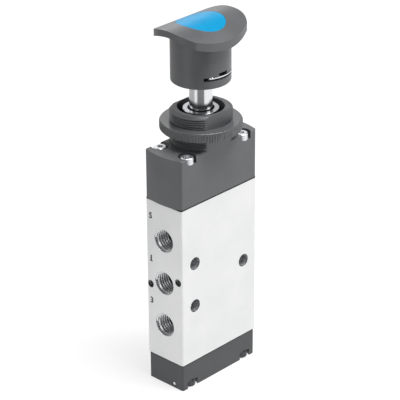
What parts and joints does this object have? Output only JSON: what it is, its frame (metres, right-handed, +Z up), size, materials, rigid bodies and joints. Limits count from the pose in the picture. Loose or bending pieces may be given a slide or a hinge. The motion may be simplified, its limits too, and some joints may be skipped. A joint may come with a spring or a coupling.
{
  "type": "hand-operated push-pull spool valve",
  "caption": "Hand valve with a flat block body, side ports, threaded panel collar with knurled nut, and a push-pull rod with a saddle-shaped palm knob.",
  "frame": {"origin": "centre of the box's underside, under the end cap, on the spool axis", "axes": "+Z up the spool axis to the knob, X along the body's long plan side with ports 5, 1, 3 on -X, Y through the thickness"},
  "size_m": [0.0498, 0.0356, 0.1649],
  "materials": {
    "anodised_body": "fine matt blasted and natural anodised",
    "moulded_black": "glass-filled nylon with a fine spark-eroded grain",
    "seal_rubber": "matt nitrile rubber",
    "zinc_screws": "bright zinc plated",
    "black_screws": "blackened steel",
    "polished_steel": "ground and polished stainless steel",
    "spring_steel": "bright spring steel",
    "spool_aluminium": "turned and anodised",
    "blue_inlay": "satin azure plastic"
  },
  "bodies": {
    "housing": {"valve_body": "anodised_body", "end_cap": "moulded_black", "end_cap_gasket": "seal_rubber", "end_cap_screws": "black_screws", "vent_plug": "spring_steel", "spool_bumper": "seal_rubber", "housing_gasket": "seal_rubber", "actuator_housing": "moulded_black", "housing_screws": "zinc_screws", "guide_bush": "polished_steel", "bush_retaining_ring": "spring_steel", "bush_o_ring": "seal_rubber", "rod_o_ring": "seal_rubber", "rod_wiper": "seal_rubber", "detent_ring": "spring_steel", "bumper_ring": "seal_rubber"},
    "nut": {"panel_nut": "moulded_black"},
    "plunger": {"plunger_rod": "polished_steel", "stop_ring": "spring_steel", "coupling_pin": "spring_steel", "spool": "spool_aluminium", "spool_seals": "seal_rubber"},
    "knob": {"knob": "moulded_black", "knob_inlay": "blue_inlay", "knob_clip": "spring_steel"}
  },
  "joints": [
    {"name": "plunger_slide", "type": "slide", "parent": "housing", "child": "plunger", "axis": [0, 0, -1], "range_m": [0, 0.006], "deforming": ["detent_ring"]},
    {"name": "knob_swivel", "type": "hinge", "parent": "plunger", "child": "knob", "pos_m": [0, 0, 0.142], "axis": [0, 0, 1], "continuous": true},
    {"name": "nut_turn", "type": "hinge", "parent": "housing", "child": "nut", "pos_m": [0, 0, 0.1183], "axis": [0, 0, 1], "continuous": true}
  ]
}
